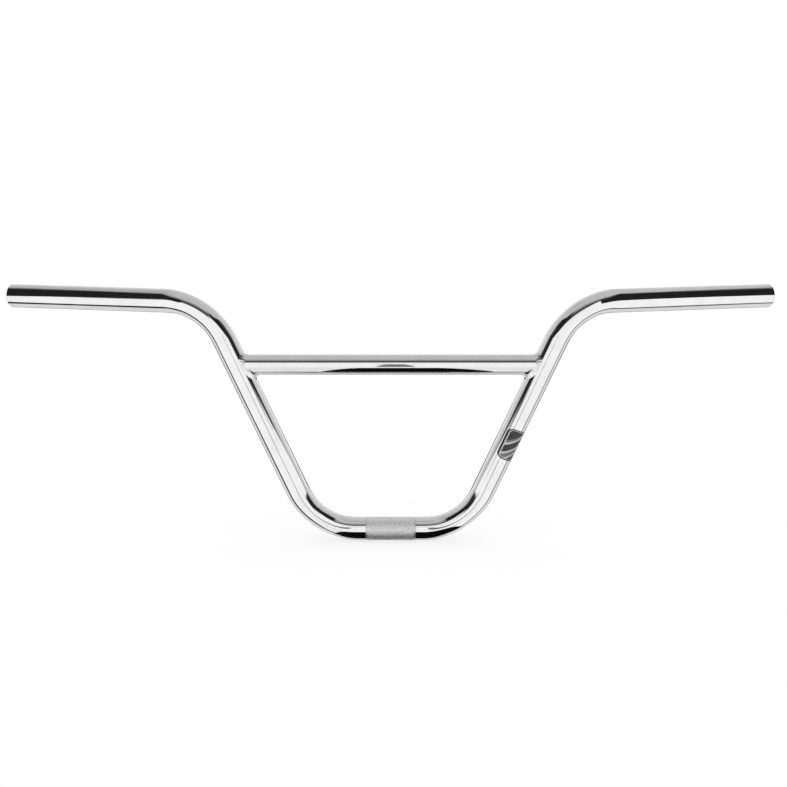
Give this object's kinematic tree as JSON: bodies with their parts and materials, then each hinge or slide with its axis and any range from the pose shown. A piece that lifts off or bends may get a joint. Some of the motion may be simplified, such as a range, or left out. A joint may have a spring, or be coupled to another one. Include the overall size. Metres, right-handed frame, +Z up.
{
  "type": "bmx handlebar",
  "caption": "High-rise freestyle bicycle handlebar of bent chromed tube with swept-back grip ends, a welded crossbar and a knurled stem clamp zone.",
  "frame": {"origin": "centre of the knurled stem clamp zone, on the tube's axis", "axes": "+X along the clamp zone to the right grip, +Y back towards the rider, +Z up along the rise"},
  "size_m": [0.7366, 0.0599, 0.2446],
  "materials": {
    "chrome_plate": "mirror-bright chrome plate on polished steel tube",
    "chrome_weld": "chrome plate over a rippled weld bead",
    "decal_film": "printed glossy vinyl film"
  },
  "bodies": {
    "root": {"main_tube": "chrome_plate", "crossbar": "chrome_plate", "left_weld_bead": "chrome_weld", "right_weld_bead": "chrome_weld", "leg_decal": "decal_film"}
  },
  "joints": []
}
